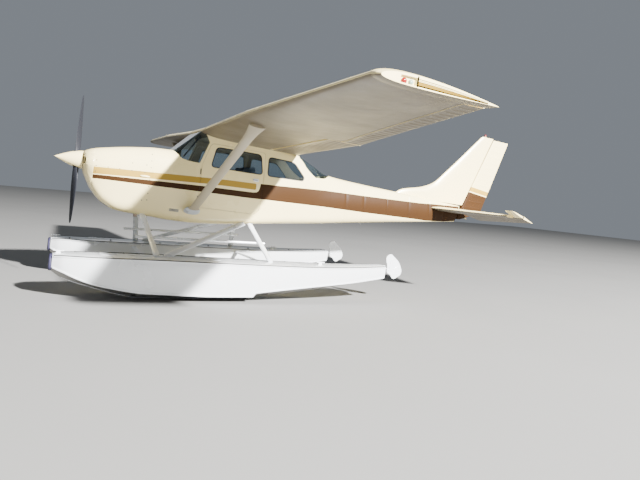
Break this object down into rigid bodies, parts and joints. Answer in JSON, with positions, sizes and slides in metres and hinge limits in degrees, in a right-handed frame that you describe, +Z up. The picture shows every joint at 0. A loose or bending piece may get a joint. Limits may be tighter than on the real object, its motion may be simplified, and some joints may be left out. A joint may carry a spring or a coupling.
{
  "type": "floatplane",
  "caption": "Four-seat high-wing propeller seaplane with twin floats, opening cabin doors, and moving flaps, ailerons, elevator, rudder and water rudders.",
  "frame": {"origin": "centre of the bounding box in plan, on the level of the float keels", "axes": "+Z up, +Y to starboard along the span, +X towards the tail"},
  "size_m": [8.3768, 11, 3.1502],
  "materials": {
    "cowl_paint": "gloss ivory enamel",
    "cabin_paint": "gloss ivory enamel",
    "wing_skin": "gloss ivory enamel on aluminium",
    "fairing_plastic": "painted glass-fibre fairing",
    "spinner_paint": "gloss ivory enamel on spun aluminium",
    "propeller_metal": "satin dark paint",
    "engine": "bare castings",
    "exhaust": "heat-stained steel",
    "window": "clear acrylic",
    "panel": "matt black",
    "seat_cloth": "blue-grey woven cloth",
    "beacon_glass": "red glass",
    "strut": "silver paint",
    "float_metal": "gloss white paint on aluminium sheet",
    "rubber": "black rubber"
  },
  "bodies": {
    "airframe": {"cowl_upper": "cowl_paint", "cowl_lower": "cowl_paint", "engine_block": "engine", "exhaust_stack": "exhaust", "wing_centre": "wing_skin", "wing_right": "wing_skin", "wing_left": "wing_skin", "wing_tip_right": "fairing_plastic", "wing_tip_left": "fairing_plastic", "cabin_belly": "cabin_paint", "cabin_nose": "cabin_paint", "cabin_floor": "cabin_paint", "cabin_side_right": "cabin_paint", "cabin_side_left": "cabin_paint", "windshield": "window", "rear_window": "window", "side_window_right": "window", "side_window_left": "window", "tail_cone": "wing_skin", "fin": "wing_skin", "stabilizer_right": "wing_skin", "stabilizer_left": "wing_skin", "beacon": "beacon_glass", "wing_strut_right": "cabin_paint", "wing_strut_left": "cabin_paint", "instrument_panel": "panel", "seat_front_left": "seat_cloth", "seat_front_right": "seat_cloth", "seat_rear": "seat_cloth", "float_right": "float_metal", "bow_bumper_right": "rubber", "float_left": "float_metal", "bow_bumper_left": "rubber", "float_strut_front_right": "strut", "float_strut_front_left": "strut", "float_strut_rear_right": "strut", "float_strut_rear_left": "strut", "float_strut_diagonal_right": "strut", "float_strut_diagonal_left": "strut", "float_rail_right": "strut", "float_rail_left": "strut", "spreader_bar_front": "strut", "spreader_bar_rear": "strut"},
    "propeller": {"propeller": "propeller_metal", "spinner": "spinner_paint"},
    "door_left": {"door_left": "cabin_paint", "door_glass_left": "window"},
    "door_right": {"door_right": "cabin_paint", "door_glass_right": "window"},
    "flap_left": {"flap_left": "wing_skin"},
    "flap_right": {"flap_right": "wing_skin"},
    "aileron_left": {"aileron_left": "wing_skin"},
    "aileron_right": {"aileron_right": "wing_skin"},
    "elevator": {"elevator_left": "wing_skin", "elevator_right": "wing_skin"},
    "rudder": {"rudder": "wing_skin"},
    "water_rudder_post_left": {"water_rudder_post_left": "strut"},
    "water_rudder_post_right": {"water_rudder_post_right": "strut"},
    "water_rudder_left": {"water_rudder_left": "float_metal"},
    "water_rudder_right": {"water_rudder_right": "float_metal"}
  },
  "joints": [
    {"name": "propeller_spin", "type": "hinge", "parent": "airframe", "child": "propeller", "pos_m": [-3.8691, 0, 1.85234], "axis": [0.9988, 0, -0.0489], "continuous": true},
    {"name": "door_left_hinge", "type": "hinge", "parent": "airframe", "child": "door_left", "pos_m": [-2.14717, -0.548, 1.68602], "axis": [-0.0489, 0, -0.9988], "range_deg": [0, 65]},
    {"name": "door_right_hinge", "type": "hinge", "parent": "airframe", "child": "door_right", "pos_m": [-2.14717, 0.548, 1.68602], "axis": [0.0489, 0, 0.9988], "range_deg": [0, 65]},
    {"name": "flap_right_hinge", "type": "hinge", "parent": "airframe", "child": "flap_right", "pos_m": [-1.0112, 0.5, 2.35353], "axis": [0.0015, 0.9995, 0.031], "range_deg": [0, 40]},
    {"name": "flap_left_hinge", "type": "hinge", "parent": "airframe", "child": "flap_left", "pos_m": [-1.0112, -0.5, 2.35353], "axis": [-0.0015, 0.9995, -0.031], "range_deg": [0, 40]},
    {"name": "aileron_right_hinge", "type": "hinge", "parent": "airframe", "child": "aileron_right", "pos_m": [-0.79753, 2.552, 2.38268], "axis": [-0.097, 0.9937, 0.0561], "range_deg": [-20, 15]},
    {"name": "aileron_left_hinge", "type": "hinge", "parent": "airframe", "child": "aileron_left", "pos_m": [-0.79753, -2.552, 2.38268], "axis": [0.097, 0.9937, -0.0561], "range_deg": [-15, 20]},
    {"name": "elevator_hinge", "type": "hinge", "parent": "airframe", "child": "elevator", "pos_m": [3.1778, 0, 1.57577], "axis": [0, 1, 0], "range_deg": [-46, 0]},
    {"name": "rudder_hinge", "type": "hinge", "parent": "airframe", "child": "rudder", "pos_m": [3.19667, 0, 1.67496], "axis": [0.4144, 0, 0.9101], "range_deg": [-17, 17]},
    {"name": "water_rudder_steer_right", "type": "hinge", "parent": "airframe", "child": "water_rudder_post_right", "pos_m": [0.88632, 1.1, 0.51644], "axis": [0.0489, 0, 0.9988], "range_deg": [-24, 24]},
    {"name": "water_rudder_steer_left", "type": "hinge", "parent": "airframe", "child": "water_rudder_post_left", "pos_m": [0.88632, -1.1, 0.51644], "axis": [0.0489, 0, 0.9988], "range_deg": [-24, 24]},
    {"name": "water_rudder_lift_right", "type": "hinge", "parent": "water_rudder_post_right", "child": "water_rudder_right", "pos_m": [0.97896, 1.1, 0.5069], "axis": [0, 1, 0], "range_deg": [0, 80]},
    {"name": "water_rudder_lift_left", "type": "hinge", "parent": "water_rudder_post_left", "child": "water_rudder_left", "pos_m": [0.97896, -1.1, 0.5069], "axis": [0, 1, 0], "range_deg": [0, 80]}
  ],
  "couplings": [
    {"joint": "flap_left_hinge", "follows": "flap_right_hinge", "ratio": 1},
    {"joint": "aileron_left_hinge", "follows": "aileron_right_hinge", "ratio": -1},
    {"joint": "water_rudder_steer_right", "follows": "rudder_hinge", "ratio": 1.4},
    {"joint": "water_rudder_steer_left", "follows": "rudder_hinge", "ratio": 1.4},
    {"joint": "water_rudder_lift_left", "follows": "water_rudder_lift_right", "ratio": 1}
  ]
}
